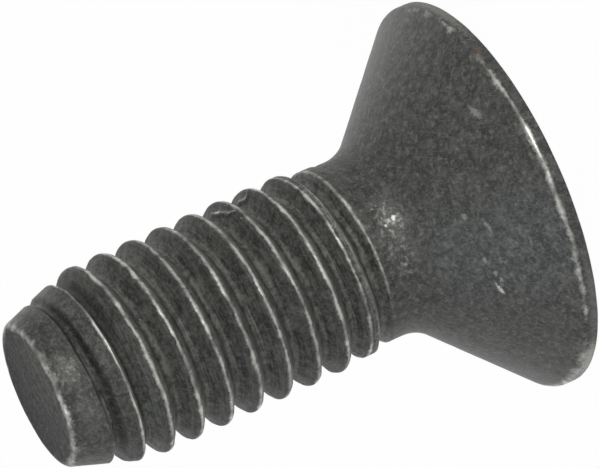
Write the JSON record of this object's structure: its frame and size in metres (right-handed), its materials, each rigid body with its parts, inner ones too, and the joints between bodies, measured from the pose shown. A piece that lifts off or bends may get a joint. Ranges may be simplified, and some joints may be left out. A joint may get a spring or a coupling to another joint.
{
  "type": "countersunk socket screw",
  "caption": "Short black countersunk screw with a flat conical head, hexagon socket and a rolled right-hand metric thread with a tapered tip; clamps parts flush with a surface.",
  "frame": {"origin": "centre of the flat head face, on which the screw stands", "axes": "+Z along the screw's axis from the head face to the tip; -Y is the side that the picture shows"},
  "size_m": [0.0158, 0.0158, 0.0196],
  "materials": {
    "black_steel": "matte black oxide over phosphate on alloy steel, with bright wear on the crests and the rim"
  },
  "bodies": {
    "root": {"screw": "black_steel"}
  },
  "joints": []
}
